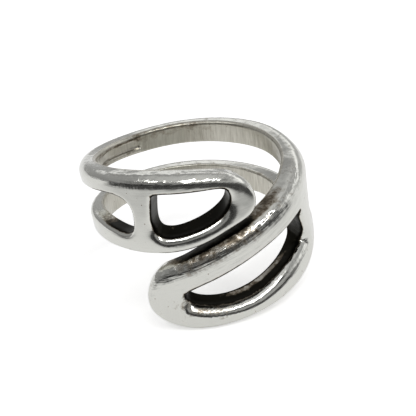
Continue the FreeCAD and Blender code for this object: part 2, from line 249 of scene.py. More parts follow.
def spline(points, closed):
    """Points at even steps along the cubic B-spline that these control points make."""
    poles = np.array(points + points[:3] if closed else points, float)
    count = len(poles)
    if closed:
        knots = np.arange(count + 4, dtype=float)
    else:
        knots = np.concatenate([np.zeros(3), np.arange(count - 2), np.full(3, count - 3)]).astype(float)
    first, last = knots[3], knots[count]
    fine = np.linspace(first, last - 1e-9, SPLINE_STEPS * count)
    basis = ((fine[:, None] >= knots[:-1]) & (fine[:, None] < knots[1:])).astype(float)
    for degree in (1, 2, 3):
        span = np.maximum(knots[degree:] - knots[:-degree], 1e-12)
        rising = (fine[:, None] - knots[:-degree - 1]) / span[:-1] * basis[:, :-1]
        falling = (knots[degree + 1:] - fine[:, None]) / span[1:] * basis[:, 1:]
        basis = rising + falling
    return even_steps(basis @ poles, OUTLINE_STEP)


def loop_outline(points, side, closed=False):
    """Outline of a loop as (azimuth in degrees, height)."""
    seam = STOCK_START if side == "left" else RIGHT_SEAM
    at_seam = BORE_RADIUS * math.tan(math.radians(seam - MIDDLE[side]))
    line = spline([(at_seam if x is SEAM else x, z) for x, z in points], closed)
    azimuth = MIDDLE[side] + np.degrees(np.arctan(line[:, 0] / BORE_RADIUS))
    return np.stack([azimuth, line[:, 1]], axis=1)


def smooth_through(places, values, start_slope, end_slope):
    """Function that runs smoothly through values at places, with given slopes at its two ends."""
    places = np.array(places, float)
    values = np.array(values, float)
    slopes = np.gradient(values, places)
    slopes[0] = start_slope
    slopes[-1] = end_slope

    def at(place):
        part = np.clip(np.searchsorted(places, place) - 1, 0, len(places) - 2)
        width = places[part + 1] - places[part]
        t = (place - places[part]) / width
        return (values[part] * (1 + 2 * t) * (1 - t) ** 2 + values[part + 1] * t ** 2 * (3 - 2 * t)
                + slopes[part] * width * t * (1 - t) ** 2 + slopes[part + 1] * width * t ** 2 * (t - 1))
    return at


def smooth_step(value, low, high):
    """0 below low, 1 above high, with a smooth rise between them."""
    share = np.clip((value - low) / (high - low), 0, 1)
    return share ** 2 * (3 - 2 * share)


def fade(value, low, high):
    """1 below low, 0 above high, with a smooth fall between them."""
    return 1 - smooth_step(value, low, high)


left_edge = loop_outline(LEFT_EDGE, "left")
left_split = loop_outline(LEFT_SPLIT, "left")
left_window = loop_outline(LEFT_WINDOW, "left", closed=True)
right_edge = loop_outline(RIGHT_EDGE, "right")
right_split = loop_outline(RIGHT_SPLIT, "right")
right_window = loop_outline(RIGHT_WINDOW, "right", closed=True)


def wire_edge(sections, column, right_end, left_end):
    """Height of a wire's edge over azimuth, running on smoothly from an outline of each loop."""
    ends = [np.array(right_end[:2]), np.array(left_end[:2])]
    slopes = [(end[1, 1] - end[0, 1]) / (end[1, 0] - end[0, 0]) for end in ends]
    places = [RIGHT_SEAM] + [row[0] for row in sections] + [LEFT_SEAM]
    heights = [ends[0][0, 1]] + [row[column] for row in sections] + [ends[1][0, 1]]
    return smooth_through(places, heights, *slopes)


upper_high = wire_edge(UPPER_WIRE, 2, right_edge, left_edge)
upper_low = wire_edge(UPPER_WIRE, 1, right_split[::-1], left_split[::-1])
lower_high = wire_edge(LOWER_WIRE, 2, right_split, left_split)
lower_low = wire_edge(LOWER_WIRE, 1, right_edge[::-1], left_edge[::-1])


# ---------------- outer face
def loop_face(side, azimuth, height):
    """Radius of a loop's outer face, which is a cylinder set a little forward and to one side."""
    angle = np.radians(azimuth)
    sideways = FACE_SIDE[side] - math.tan(FACE_LEAN[side]) * height
    along = sideways * np.sin(angle) + FACE_FORWARD * np.cos(angle)
    beside = sideways * np.cos(angle) - FACE_FORWARD * np.sin(angle)
    return along + np.sqrt((BORE_RADIUS + LOOP_WALL) ** 2 - beside ** 2)


def wire_face(sections, back_wall, low, high):
    """Function for the radius of a wire's outer face, which thins from both loops to the back."""
    seams = {"right": RIGHT_SEAM, "left": LEFT_SEAM}
    middles = {side: (low(seam) + high(seam)) / 2 for side, seam in seams.items()}
    radii = {side: loop_face(side, seam, middles[side]) for side, seam in seams.items()}
    slopes = [np.diff(loop_face(side, seam + np.array([-0.5, 0.5]), middles[side]))[0]
              for side, seam in seams.items()]
    places = [RIGHT_SEAM] + [row[0] for row in sections] + [LEFT_SEAM]
    walls = [BORE_RADIUS + back_wall + row[3] for row in sections]
    profile = smooth_through(places, [radii["right"], *walls, radii["left"]], *slopes)

    def at(azimuth, height):
        radius = profile(azimuth)
        for side, seam in seams.items():
            near = fade(np.abs(azimuth - seam), 0.0, FACE_BLEND)
            radius = radius + near * (loop_face(side, seam, height) - radii[side])
        return radius
    return at


upper_face = wire_face(UPPER_WIRE, UPPER_BACK_WALL, upper_low, upper_high)
lower_face = wire_face(LOWER_WIRE, LOWER_BACK_WALL, lower_low, lower_high)


# ---------------- outlines of the flat stock
def flat(line):
    """(azimuth, height) as (across, height) of the flat stock."""
    return line * np.array([DEGREE, 1.0])


def wire_line(height_at):
    """Edge of a wire as (azimuth, height) from the right seam to the left one."""
    azimuth = np.arange(RIGHT_SEAM, LEFT_SEAM + 0.5, 1.0)
    line = np.stack([azimuth, height_at(azimuth)], axis=1)
    return even_steps(flat(line), OUTLINE_STEP) / np.array([DEGREE, 1.0])


upper_high_line = wire_line(upper_high)
upper_low_line = wire_line(upper_low)
lower_high_line = wire_line(lower_high)
lower_low_line = wire_line(lower_low)


# Closed shapes whose overlaps give the stock: a point is in it inside an odd number of them.
SHAPES = [flat(line) for line in (
    left_edge, left_split, left_window[:-1], right_window[:-1],
    np.concatenate([right_edge, lower_low_line, upper_high_line[::-1]]),
    np.concatenate([right_split, upper_low_line, lower_high_line[::-1]]))]


def inside(points, shapes):
    """Whether each point lies inside an odd number of closed shapes."""
    crossings = np.zeros(len(points), int)
    for shape in shapes:
        end = np.roll(shape, -1, axis=0)
        rise = np.where(end[:, 1] == shape[:, 1], 1.0, end[:, 1] - shape[:, 1])
        for rows in np.array_split(np.arange(len(points)), max(1, len(points) // BATCH)):
            across, height = points[rows, 0, None], points[rows, 1, None]
            straddles = (shape[:, 1] > height) != (end[:, 1] > height)
            crossing = shape[:, 0] + (height - shape[:, 1]) * (end[:, 0] - shape[:, 0]) / rise
            crossings[rows] += (straddles & (across < crossing)).sum(axis=1)
    return crossings % 2 == 1


def evened(values, closed):
    """Average along an outline over EVENED millimetres, so that a rounding changes gently."""
    side = round(EVENED / OUTLINE_STEP / 2)
    padded = np.pad(values, side, mode="wrap" if closed else "edge")
    return np.convolve(padded, np.full(2 * side + 1, 1 / (2 * side + 1)), mode="valid")


class Outline:
    """Edge of the stock, with the rounding and the darkening of the wall beside each of its points, which
    is tarnish and painted shade.
    """

    def __init__(self, line, owner, contour, rounding, tarnish_and_shade, wall_share=1.0, reach=RIM_REACH):
        self.points = flat(line)
        self.owner = owner
        self.contour = contour
        self.inward = self.normals_into_metal()
        faces_up = smooth_step(-self.inward[:, 1], *FACING_UP)
        rounding = rounding[0] + (rounding[1] - rounding[0]) * faces_up
        self.rounding = evened(rounding, "window" in contour)
        # The darkening reaches farther over an edge where its wall faces down: painted shade.
        self.reach = reach[1] + (reach[0] - reach[1]) * smooth_step(self.inward[:, 1], *FACING_DOWN)
        self.tarnish_and_shade = np.broadcast_to(tarnish_and_shade, len(line)).astype(float)
        self.wall_share = np.broadcast_to(wall_share, len(line)).astype(float)
        self.film = self.film_beside(line[:, 0], faces_up)
        self.lean = self.window_lean(line[:, 0]) if "window" in contour else np.zeros((len(line), 4))

    def film_beside(self, azimuth, faces_up):
        """Thin tarnish on the outer face beside each point."""
        if self.contour == "outside":
            return FILM * self.tarnish_and_shade
        if self.contour == "right window":
            return WINDOW_FILM * faces_up * fade(azimuth, *WINDOW_FILM_FADE)
        return np.zeros(len(azimuth))

    def window_lean(self, azimuth):
        """Shifts across and in height of a window's outer edge, and then of its bore edge."""
        lower = smooth_step(-self.inward[:, 1], *LOWER_WALL) * fade(azimuth, *LEAN_FADE[self.contour])
        right_end = smooth_step(self.inward[:, 0], *RIGHT_END)
        return (evened(lower, True)[:, None] * np.ravel(LOWER_WALL_LEAN[self.contour])
                + evened(right_end, True)[:, None] * np.ravel(RIGHT_END_LEAN[self.contour]))

    def normals_into_metal(self):
        """Unit normals of the outline that point away from the open side."""
        line = self.points
        run = np.gradient(line, axis=0)
        if np.allclose(line[0], line[-1]):
            run[0] = run[-1] = line[1] - line[-2]
        normal = np.stack([-run[:, 1], run[:, 0]], axis=1) / np.linalg.norm(run, axis=1)[:, None]
        middle = len(line) // 2
        probe = line[middle] + CLOSEST * normal[middle]
        return normal if inside(probe[None], SHAPES)[0] else -normal

    def held_at(self, place, values):
        """What the outline holds at places along it, from the values at its points."""
        return np.interp(place, np.arange(len(self.points)), values)


def along_shank(line, left_pair, right_pair):
    """Roundings along a wire, which go over from each loop's to the shank's own."""
    start, end = SHANK_ROUND_SPAN
    from_right = smooth_step(line[:, 0], RIGHT_SEAM, start)
    to_left = smooth_step(line[:, 0], end, LEFT_SEAM)
    return [right + (shank - right) * from_right + (left - shank) * to_left
            for left, right, shank in zip(left_pair, right_pair, SHANK_ROUND)]


def between_loops(line):
    """How dark the right loop's edge is: its upper wall lies in the narrow gap under the left loop. The
    dark is tarnish and painted shade, with a painted reflection of the left loop's underside.
    """
    azimuth, height = line.T
    under_left = smooth_step(azimuth, *NARROW_RISE) * fade(azimuth, *NARROW_FALL)
    narrowest = 1 - NARROW_THINNED * smooth_step(azimuth, *NARROW_THINNING)
    return CLEAN + (1 - CLEAN) * under_left * narrowest * (height > UPPER_WALL_FROM)


def window_ends(line):
    """How dark the bore side of the right window's wall is, from tarnish and painted shade: most at the
    window's two ends.
    """
    azimuth = line[:, 0]
    at_end = np.maximum(fade(azimuth, *TOWARDS_LEFT_END), smooth_step(azimuth, *TOWARDS_RIGHT_END))
    return RIGHT_WINDOW_SHARE + (1 - RIGHT_WINDOW_SHARE) * at_end


def near_bars(line):
    """How dark the shank gap's edges are, from tarnish and painted shade: most where the gap ends at a
    loop's crossbar.
    """
    away = np.min([np.abs((line[:, 0] - bar[0] + TURN / 2) % TURN - TURN / 2)
                   for bar in CROSSBARS.values()], axis=0)
    return GAP_TARNISH_AND_SHADE + (1 - GAP_TARNISH_AND_SHADE) * fade(away, *BESIDE_BAR)


def outside_edge(line, owner):
    """Edge of a shank wire that is on the outside of the ring."""
    rounding = along_shank(line, LEFT_EDGE_ROUND, RIGHT_EDGE_ROUND)
    return Outline(line, owner, "outside", rounding, CLEAN)


def gap_edge(line, owner):
    """Edge of a shank wire that is in the gap between the two wires."""
    rounding = along_shank(line, LEFT_GAP_ROUND, RIGHT_GAP_ROUND)
    return Outline(line, owner, "gap", rounding, near_bars(line))


OUTLINES = [
    Outline(left_edge, "left", "outside", LEFT_EDGE_ROUND, CLEAN),
    Outline(right_edge, "right", "outside", RIGHT_EDGE_ROUND, between_loops(right_edge)),
    outside_edge(upper_high_line, "upper"),
    outside_edge(lower_low_line, "lower"),
    Outline(left_split, "left", "gap", LEFT_GAP_ROUND, near_bars(left_split)),
    Outline(right_split, "right", "gap", RIGHT_GAP_ROUND, near_bars(right_split)),
    gap_edge(upper_low_line, "upper"),
    gap_edge(lower_high_line, "lower"),
    Outline(left_window, "left", "left window", LEFT_WINDOW_ROUND, 1.0, LEFT_WINDOW_SHARE,
            LEFT_WINDOW_REACH),
    Outline(right_window, "right", "right window", RIGHT_WINDOW_ROUND, 1.0,
            window_ends(right_window), RIGHT_WINDOW_REACH)]


def recess_shape():
    """Outline of the hollow inside the upper wire, left of the sizing insert."""
    azimuth = np.arange(INSERT_END, RECESS_END + 0.5, 1.0)
    top = np.stack([azimuth, upper_high(azimuth) - RECESS_MARGIN], axis=1)
    bottom = np.stack([azimuth, upper_low(azimuth) + RECESS_MARGIN], axis=1)
    return flat(np.concatenate([top, bottom[::-1], top[:1]]))


RECESS = even_steps(recess_shape(), OUTLINE_STEP)


# ---------------- distances in the flat stock
def gap_to(points, line):
    """Distance from each point to a line, and the place on the line, counted in its points."""
    distance = np.full(len(points), np.inf)
    place = np.zeros(len(points))
    start, run = line[:-1], np.diff(line, axis=0)
    square = np.maximum((run ** 2).sum(axis=1), 1e-12)
    near = ((points > line.min(axis=0) - FARTHEST) & (points < line.max(axis=0) + FARTHEST)).all(axis=1)
    for rows in np.array_split(np.flatnonzero(near), max(1, near.sum() // BATCH)):
        offset = points[rows, None, :] - start
        share = np.clip((offset * run).sum(axis=2) / square, 0, 1)
        gap = ((offset - share[..., None] * run) ** 2).sum(axis=2)
        best = gap.argmin(axis=1)
        distance[rows] = np.sqrt(gap[np.arange(len(rows)), best])
        place[rows] = best + share[np.arange(len(rows)), best]
    return distance, place


def gap_round_finger(points, outline):
    """Distance to an outline, also past the cut where the flat stock ends meet, and the place on it."""
    found = [gap_to(points, outline.points + np.array([shift * TURN * DEGREE, 0.0]))
             for shift in (-1, 0, 1)]
    distances, places = (np.stack(values) for values in zip(*found))
    best = distances.argmin(axis=0)[None]
    return np.take_along_axis(distances, best, 0)[0], np.take_along_axis(places, best, 0)[0]


# ---------------- flat mesh of the whole ring
def stock_points():
    """Points inside the stock: rows at growing depths along its outlines, and an even field between."""
    points, least = [], []
    for outline in OUTLINES:
        for depth in RING_DEPTHS:
            points.append(outline.points + depth * outline.inward)
            least.append(np.full(len(outline.points), depth - ROW_SLACK))
    field = np.arange((STOCK_START - 1) * DEGREE, (LEFT_SEAM + 1) * DEGREE, FIELD_STEP)
    for number, height in enumerate(np.arange(-HALF_HEIGHT, HALF_HEIGHT, FIELD_ROW)):
        across = field + (number % 2) * FIELD_STEP / 2
        points.append(np.stack([across, np.full(len(across), height)], axis=1))
        least.append(np.full(len(across), FIELD_DEPTH))
    points, least = np.concatenate(points), np.concatenate(least)
    within_ends = ((points[:, 0] > STOCK_START * DEGREE + CLOSEST)
                   & (points[:, 0] < LEFT_SEAM * DEGREE - CLOSEST))
    kept = inside(points, SHAPES) & within_ends
    points, least = points[kept], least[kept]
    for outline in OUTLINES:
        kept = gap_round_finger(points, outline)[0] > least
        points, least = points[kept], least[kept]
    shelf = np.concatenate([RECESS + np.array([0.0, shift]) for shift in SHELF_ROWS])
    points = np.concatenate([shelf[inside(shelf, SHAPES)], points])
    _, first = np.unique(np.round(points / CLOSEST), axis=0, return_index=True)
    return points[np.sort(first)]


def seam_lines():
    """Lines where the pieces of the ring are soldered to each other."""
    wires = ((upper_low, upper_high), (lower_low, lower_high))

    def cuts_at(azimuth, past):
        return [np.array([(azimuth, low(azimuth) - past), (azimuth, high(azimuth) + past)])
                for low, high in wires]

    lines = cuts_at(RIGHT_SEAM, 0) + cuts_at(LEFT_SEAM, 0)
    lines += [line - np.array([TURN, 0.0]) for line in lines[2:]]
    lines += cuts_at(INSERT_START, SEAM_OVERSHOOT) + cuts_at(INSERT_END, SEAM_OVERSHOOT)
    for azimuth, reach, low, high in CROSSBARS.values():
        for height in (low, high):
            lines.append(np.array([(azimuth - reach, height), (azimuth + reach, height)]))
    return [even_steps(flat(line), OUTLINE_STEP) for line in lines]


def triangulate():
    """Triangles over the stock that keep every outline and seam as an edge."""
    points = [stock_points()]
    edges = []
    count = len(points[0])
    for line in [outline.points for outline in OUTLINES] + seam_lines():
        points.append(line)
        edges += [(count + number, count + number + 1) for number in range(len(line) - 1)]
        count += len(line)
    places = [Vector(point) for point in np.concatenate(points)]
    found = delaunay_2d_cdt(places, edges, [], 0, MERGED, False)
    points = np.array([tuple(point) for point in found[0]])
    triangles = np.array(found[2])
    kept = inside(points[triangles].mean(axis=1), SHAPES)
    return points, triangles[kept]


def piece_of(middles):
    """Name of the piece that each triangle belongs to, from its middle."""
    azimuth, height = middles[:, 0] / DEGREE, middles[:, 1]
    names = np.empty(len(middles), object)
    loops = azimuth < RIGHT_SEAM
    nearest = {side: np.full(loops.sum(), np.inf) for side in CROSSBARS}
    for outline in OUTLINES:
        if outline.owner in nearest:
            gap = gap_to(middles[loops], outline.points)[0]
            nearest[outline.owner] = np.minimum(nearest[outline.owner], gap)
    names[loops] = np.where(nearest["left"] < nearest["right"], "left_loop", "right_loop")
    for side, (middle, reach, low, high) in CROSSBARS.items():
        bar = (abs(azimuth - middle) < reach) & (height > low) & (height < high)
        names[bar & (names == side + "_loop")] = side + "_crossbar"
    upper = height > (upper_low(azimuth) + lower_high(azimuth)) / 2
    for level, chosen in (("upper", upper), ("lower", ~upper)):
        wire = ~loops & chosen
        names[wire & (azimuth < INSERT_START)] = level + "_shank_right"
        names[wire & (azimuth > INSERT_START) & (azimuth < INSERT_END)] = level + "_sizing_insert"
        names[wire & (azimuth > INSERT_END)] = level + "_shank_left"
    return names


def rounded(distance, radius):
    """How far a rounded edge falls away at a distance from the wall beside it."""
    reach = np.clip(radius - distance, 0, radius)
    return radius - np.sqrt(radius ** 2 - reach ** 2)


def nearest_of(gaps, outlines):
    """Distance to the nearest of some outlines, and what these hold at the nearest place."""
    distances = np.stack([gaps[outline][0] for outline in outlines])
    best = distances.argmin(axis=0)
    held = {}
    for label in ("rounding", "reach", "tarnish_and_shade", "film", "wall_share"):
        values = [outline.held_at(gaps[outline][1], getattr(outline, label)) for outline in outlines]
        held[label] = np.choose(best, values)
    return distances.min(axis=0), held


def owners_at(azimuth, gaps):
    """The loop or shank wire each point belongs to, which is the one whose outline is nearest."""
    on_loop = azimuth < RIGHT_SEAM + TOUCHING
    nearest = np.full(len(azimuth), np.inf)
    owner = np.full(len(azimuth), "upper")
    for outline in OUTLINES:
        distance = np.where(on_loop == (outline.owner in WEAR), gaps[outline][0], np.inf)
        closer = distance < nearest
        nearest[closer] = distance[closer]
        owner[closer] = outline.owner
    return owner


def wear_at(azimuth, height, owner, fall):
    """How worn the polish is at each point, where fall is how far a rounded edge has fallen away."""
    from_seam = np.minimum(azimuth - STOCK_START, RIGHT_SEAM - azimuth)
    own = np.where(owner == "left", WEAR["left"], WEAR["right"])
    own = own + np.maximum(TOP_WEAR - own, 0) * smooth_step(height, *TOP_HEIGHTS)
    own = own + (LOW_WEAR - own) * fade(height, *LOW_HEIGHTS)
    own = own * (FLAT_WEAR + (EDGE_WEAR - FLAT_WEAR) * smooth_step(fall, 0.0, EDGE_FALL))
    return SHANK_WEAR + (own - SHANK_WEAR) * smooth_step(from_seam, 0.0, WEAR_BLEND)


def tarnish_and_shade_at(contour, distance, held):
    """Darkening, tarnish and painted shade, that one contour brings to its points, in four layers from
    the outer side to the bore.
    """
    round_share = distance / held["rounding"]
    outside = held["tarnish_and_shade"] * fade(round_share, 0.5 * held["reach"], held["reach"])
    outside = np.maximum(outside, held["film"] * fade(distance, 0.0, FILM_REACH))
    wall = held["tarnish_and_shade"] * (distance < CLOSEST)
    in_bore = held["tarnish_and_shade"] * fade(distance, 0.0, BORE_ROUND[contour])
    return [outside, wall, wall * held["wall_share"], in_bore]


def tarnish_and_shade_in_recess(azimuth, height, within):
    """Darkening, tarnish and painted shade, in the bore at a distance within the recess's outline, and on
    the insert beside it.
    """
    to_edge = upper_high(azimuth) - height
    low, high = RECESS_TARNISH_AND_SHADE
    beside = fade(np.abs(within), *RECESS_BESIDE) * (low + (high - low) * fade(to_edge, *RECESS_TOP))
    on_insert = smooth_step(azimuth, *INSERT_FILM_RISE) * fade(azimuth, *INSERT_FILM_FALL)
    return np.maximum(beside, INSERT_FILM * on_insert * fade(to_edge, *INSERT_FILM_DEPTH))


def leans(points, gaps):
    """Shifts of the outer and of the bore side at each point, where a window's wall leans."""
    total = np.zeros((len(points), 4))
    for outline in OUTLINES:
        distance, place = gaps[outline]
        lean = np.stack([outline.held_at(place, shift) for shift in outline.lean.T], axis=1)
        total += fade(distance, 0.0, LEAN_REACH)[:, None] * lean
    return total[:, :2], total[:, 2:]


FACES = {"left": partial(loop_face, "left"), "right": partial(loop_face, "right"),
         "upper": upper_face, "lower": lower_face}


def thicknesses(points, gaps):
    """Depths of the outer and of the bore side, tarnish and painted shade in four layers, and wear, at
    each point.
    """
    azimuth, height = points[:, 0] / DEGREE, points[:, 1]
    fall = np.zeros(len(points))
    tarnish_and_shade = np.zeros((4, len(points)))
    bore_edge = np.zeros(len(points))
    for contour, radius in BORE_ROUND.items():
        same = [outline for outline in OUTLINES if outline.contour == contour]
        distance, held = nearest_of(gaps, same)
        fall += rounded(distance, held["rounding"])
        tarnish_and_shade = np.maximum(tarnish_and_shade, tarnish_and_shade_at(contour, distance, held))
        bore_edge = np.maximum(bore_edge, rounded(distance, radius))

    owner = owners_at(azimuth, gaps)
    face = np.empty(len(points))
    for name, radius_at in FACES.items():
        mine = owner == name
        face[mine] = radius_at(azimuth[mine], height[mine])

    within = gap_to(points, RECESS)[0] * np.where(inside(points, [RECESS]), 1, -1)
    shallower = (1 - RECESS_SHALLOW) * smooth_step(azimuth, RECESS_TAPER_START, RECESS_END)
    hollow = RECESS_DEPTH * (1 - shallower) * smooth_step(within, *RECESS_WALL)
    in_recess = np.where(owner == "upper", tarnish_and_shade_in_recess(azimuth, height, within), 0)
    tarnish_and_shade[3] = np.maximum(tarnish_and_shade[3], in_recess)
    outer = face - BORE_RADIUS - fall
    return outer, bore_edge + hollow, tarnish_and_shade, wear_at(azimuth, height, owner, fall)


# ---------------- helpers for objects and node trees
def add_object(name, data):
    """New object in the scene."""
    made = bpy.data.objects.new(name, data)
    bpy.context.scene.collection.objects.link(made)
    return made


def add_node(tree, kind, values=None, **settings):
    """Node with its settings; values are plain numbers, or sockets that are linked to its inputs."""
    made = tree.nodes.new(kind)
    for name, setting in settings.items():
        setattr(made, name, setting)
    for name, value in (values or {}).items():
        if isinstance(value, bpy.types.NodeSocket):
            tree.links.new(value, made.inputs[name])
        else:
            made.inputs[name].default_value = value
    return made


def new_group(name, kind, inputs):
    """Node group with its named inputs as {name: type}, and the sockets that they come in by."""
    tree = bpy.data.node_groups.new(name, kind)
    for label, socket_type in inputs.items():
        tree.interface.new_socket(name=label, in_out="INPUT", socket_type="NodeSocket" + socket_type)
    return tree, tree.nodes.new("NodeGroupInput").outputs


def put_out(tree, sockets, socket_type="Float"):
    """Gives a node group its outputs, as {name: socket inside the group}."""
    for label in sockets:
        tree.interface.new_socket(name=label, in_out="OUTPUT", socket_type="NodeSocket" + socket_type)
    add_node(tree, "NodeGroupOutput", sockets)


def maths(tree, operation, first, second=0.0, third=0.0):
    """Result socket of a Math node."""
    values = {0: first, 1: second, 2: third}
    return add_node(tree, "ShaderNodeMath", values, operation=operation).outputs[0]


def times(tree, first, second):
    """Socket of one value times another."""
    return maths(tree, "MULTIPLY", first, second)


def vector(tree, x, y, z=0.0):
    """Socket of a vector with these parts."""
    return add_node(tree, "ShaderNodeCombineXYZ", {0: x, 1: y, 2: z}).outputs[0]


def scaled(tree, place, scale):
    """Vector times a number."""
    values = {0: place, "Scale": scale}
    return add_node(tree, "ShaderNodeVectorMath", values, operation="SCALE").outputs[0]


def noise(tree, place, scale, detail, roughness=0.5):
    """Value of a noise texture."""
    return add_node(tree, "ShaderNodeTexNoise", {
        "Vector": place, "Scale": scale, "Detail": detail, "Roughness": roughness}).outputs[0]


# ---------------- bending the stock
# Height and length of the faint waves, and how far from the bore a point is at least that has them.
WAVE_HEIGHT = 0.04
WAVE_LENGTH = 1.6
WAVES_FROM = 0.4


def bend_tree():
    """Bends flat stock round the finger and leaves the faint waves of hand polishing on it."""
    tree, given = new_group("Bend round the finger", "GeometryNodeTree", {
        "Flat Stock": "Geometry", "Bore Radius": "Float", "Wave Height": "Float",
        "Wave Length": "Float", "Metal": "Material"})
    place = add_node(tree, "GeometryNodeInputPosition").outputs[0]
    across, inwards, height = add_node(tree, "ShaderNodeSeparateXYZ", {0: place}).outputs
    angle = maths(tree, "DIVIDE", across, given["Bore Radius"])
    sideways = maths(tree, "SINE", angle)
    backwards = times(tree, maths(tree, "COSINE", angle), -1.0)
    radius = maths(tree, "SUBTRACT", given["Bore Radius"], inwards)
    bent_place = vector(tree, times(tree, radius, sideways), times(tree, radius, backwards), height)
    waves = noise(tree, bent_place, maths(tree, "DIVIDE", 1.0, given["Wave Length"]), 1.0)
    lift = times(tree, maths(tree, "SUBTRACT", waves, 1.0), given["Wave Height"])
    has_waves = maths(tree, "LESS_THAN", inwards, -WAVES_FROM * MM)
    shift = scaled(tree, vector(tree, sideways, backwards), times(tree, lift, has_waves))
    moved = add_node(tree, "GeometryNodeSetPosition", {
        "Geometry": given["Flat Stock"], "Position": bent_place, "Offset": shift})
    solid = add_node(tree, "GeometryNodeRealizeInstances", {"Geometry": moved.outputs[0]})
    finished = add_node(tree, "GeometryNodeSetMaterial", {
        "Geometry": solid.outputs[0], "Material": given["Metal"]})
    put_out(tree, {"Bent Piece": finished.outputs[0]}, "Geometry")
    return tree


BEND = bend_tree()


def bent(flat_mesh, metal):
    """Plain mesh of a flat piece after the bend."""
    piece = add_object("flat piece", flat_mesh)
    modifier = piece.modifiers.new("Bend", "NODES")
    modifier.node_group = BEND
    inputs = {item.name: item.identifier for item in BEND.interface.items_tree}
    modifier[inputs["Bore Radius"]] = BORE_RADIUS * MM
    modifier[inputs["Wave Height"]] = WAVE_HEIGHT * MM
    modifier[inputs["Wave Length"]] = WAVE_LENGTH * MM
    modifier[inputs["Metal"]] = metal
    bpy.context.view_layer.update()
    evaluated = piece.evaluated_get(bpy.context.evaluated_depsgraph_get())
    mesh = bpy.data.meshes.new_from_object(evaluated)
    piece.modifiers.remove(modifier)
    bpy.data.objects.remove(piece)
    bpy.data.meshes.remove(flat_mesh)
    return mesh


# ---------------- cutting the pieces out of the stock
def read(items, label, kind=float, width=1):
    """One property of all the corners or faces of a mesh, as an array."""
    values = np.empty(len(items) * width, kind)
    items.foreach_get(label, values)
    return values


class Stock:
    """The flat ring: its triangles, and a column of points through the metal under each edge point."""

    def __init__(self):
        self.points, self.triangles = triangulate()
        self.names = piece_of(self.points[self.triangles].mean(axis=1))
        gaps = {outline: gap_round_finger(self.points, outline) for outline in OUTLINES}
        outer, bore, tarnish_and_shade, self.wear = thicknesses(self.points, gaps)
        outside, wall, wall_inside, in_bore = tarnish_and_shade
        share = np.linspace(0, 1, WALL_ROWS + 1)[:, None]
        self.depths = outer + (bore - outer) * share
        outer_lean, bore_lean = leans(self.points, gaps)
        self.places = self.points + outer_lean + (bore_lean - outer_lean) * share[..., None]
        # Darkening by tarnish and painted shade in each layer, from the outer side to the bore.
        self.tarnish_and_shade = wall + (wall_inside - wall) * smooth_step(share, *WALL_CHANGE)
        self.tarnish_and_shade[0] = outside
        self.tarnish_and_shade[-1] = in_bore
        self.twins = self.find_twins()

    def find_twins(self):
        """Numbers of the points, where those on the two ends of the stock that meet count as one."""
        twins = np.arange(len(self.points))
        start = np.flatnonzero(self.points[:, 0] < STOCK_START * DEGREE + TOUCHING)
        end = np.flatnonzero(self.points[:, 0] > LEFT_SEAM * DEGREE - TOUCHING)
        for number in end:
            gap = abs(self.points[start, 1] - self.points[number, 1])
            twins[number] = start[gap.argmin()]
        return twins

    def cut_out(self, name, metal):
        """One piece bent round the finger, and for each of its points the place in the stock."""
        mine = self.triangles[self.names == name]
        edges = np.concatenate([mine[:, [0, 1]], mine[:, [1, 2]], mine[:, [2, 0]]])
        whole = {tuple(edge) for edge in edges}
        rim = np.array([edge for edge in whole if edge[::-1] not in whole])
        columns = np.unique(mine)
        levels = WALL_ROWS + 1
        used = np.zeros((len(self.points), levels), bool)
        used[columns[:, None], [0, WALL_ROWS]] = True
        used[np.unique(rim)] = True
        column, level = np.nonzero(used)
        number = np.full(used.shape, -1)
        number[column, level] = np.arange(len(column))

        first, second = rim.T
        walls = [np.stack([number[first, row], number[first, row + 1],
                           number[second, row + 1], number[second, row]], axis=1)
                 for row in range(WALL_ROWS)]
        faces = number[mine, 0].tolist() + number[mine[:, ::-1], WALL_ROWS].tolist()
        is_solder = np.zeros(len(faces) + WALL_ROWS * len(rim), bool)
        is_solder[len(faces):] = np.tile(self.at_seam(first, second), WALL_ROWS)
        faces += np.concatenate(walls).tolist()

        mesh = self.flat_mesh(name, column, level, faces)
        return bent(mesh, metal), self.twins[column] * levels + level, is_solder

    def flat_mesh(self, name, column, level, faces):
        """Mesh of a flat piece, with what its material has to know at each point."""
        across, height = self.places[level, column].T
        places = np.stack([across, -self.depths[level, column], height], axis=1)
        mesh = bpy.data.meshes.new(name)
        mesh.from_pydata((places * MM).tolist(), [], faces)
        corner = read(mesh.loops, "vertex_index", int)
        unrolled = mesh.uv_layers.new(name="unrolled")
        unrolled.data.foreach_set("uv", places[corner][:, [0, 2]].ravel())
        for label, values in (("tarnish_and_shade", self.tarnish_and_shade[level, column]), ("wear", self.wear[column]),
                              ("bore_side", (level == WALL_ROWS).astype(float))):
            mesh.attributes.new(label, "FLOAT", "POINT").data.foreach_set("value", values)
        mesh.polygons.foreach_set("use_smooth", np.ones(len(faces), bool))
        return mesh

    def at_seam(self, first, second):
        """Whether the rim between two columns is where the piece is soldered to the next one."""
        known = {tuple(edge) for turned in ([1, 0], [2, 1], [0, 2])
                 for edge in self.triangles[:, turned].tolist()}
        soldered = np.array([edge in known for edge in zip(first.tolist(), second.tolist())])
        for end in (STOCK_START * DEGREE, LEFT_SEAM * DEGREE):
            at_end = abs(self.points[:, 0] - end) < TOUCHING
            soldered |= at_end[first] & at_end[second]
        return soldered


def face_normals(mesh):
    """Normals of a mesh's faces, as long as the faces are large."""
    normals = read(mesh.polygons, "normal", width=3).reshape(-1, 3)
    return normals * read(mesh.polygons, "area")[:, None]


def corners_of(mesh):
    """Point and face of each corner of a mesh."""
    totals = read(mesh.polygons, "loop_total", int)
    return read(mesh.loops, "vertex_index", int), np.repeat(np.arange(len(totals)), totals)


def unit(vectors):
    """The same vectors at length 1."""
    return vectors / np.maximum(np.linalg.norm(vectors, axis=1), 1e-30)[:, None]


